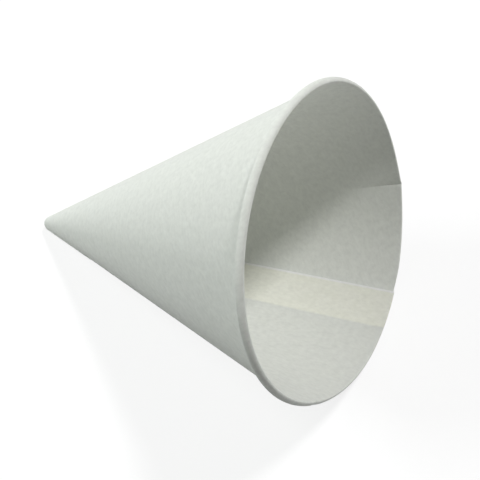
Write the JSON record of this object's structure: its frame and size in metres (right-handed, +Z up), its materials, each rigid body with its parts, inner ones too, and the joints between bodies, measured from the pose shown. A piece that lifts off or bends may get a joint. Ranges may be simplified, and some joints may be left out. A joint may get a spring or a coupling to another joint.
{
  "type": "cone paper cup",
  "caption": "Pointed paper drinking cup: one sheet wound to a cone with a glued lap seam, a closed tip and an outward-curled rim, lying on its side.",
  "frame": {"origin": "on the surface that the cup lies on, under the middle of its bounding box", "axes": "+X along that surface from the tip to the mouth, +Z up; the cup's axis lies in the XZ plane, and leans up towards the mouth"},
  "size_m": [0.0998, 0.073, 0.0679],
  "materials": {
    "white_paper": "uncoated, matt"
  },
  "bodies": {
    "root": {"paper_cone": "white_paper"}
  },
  "joints": []
}
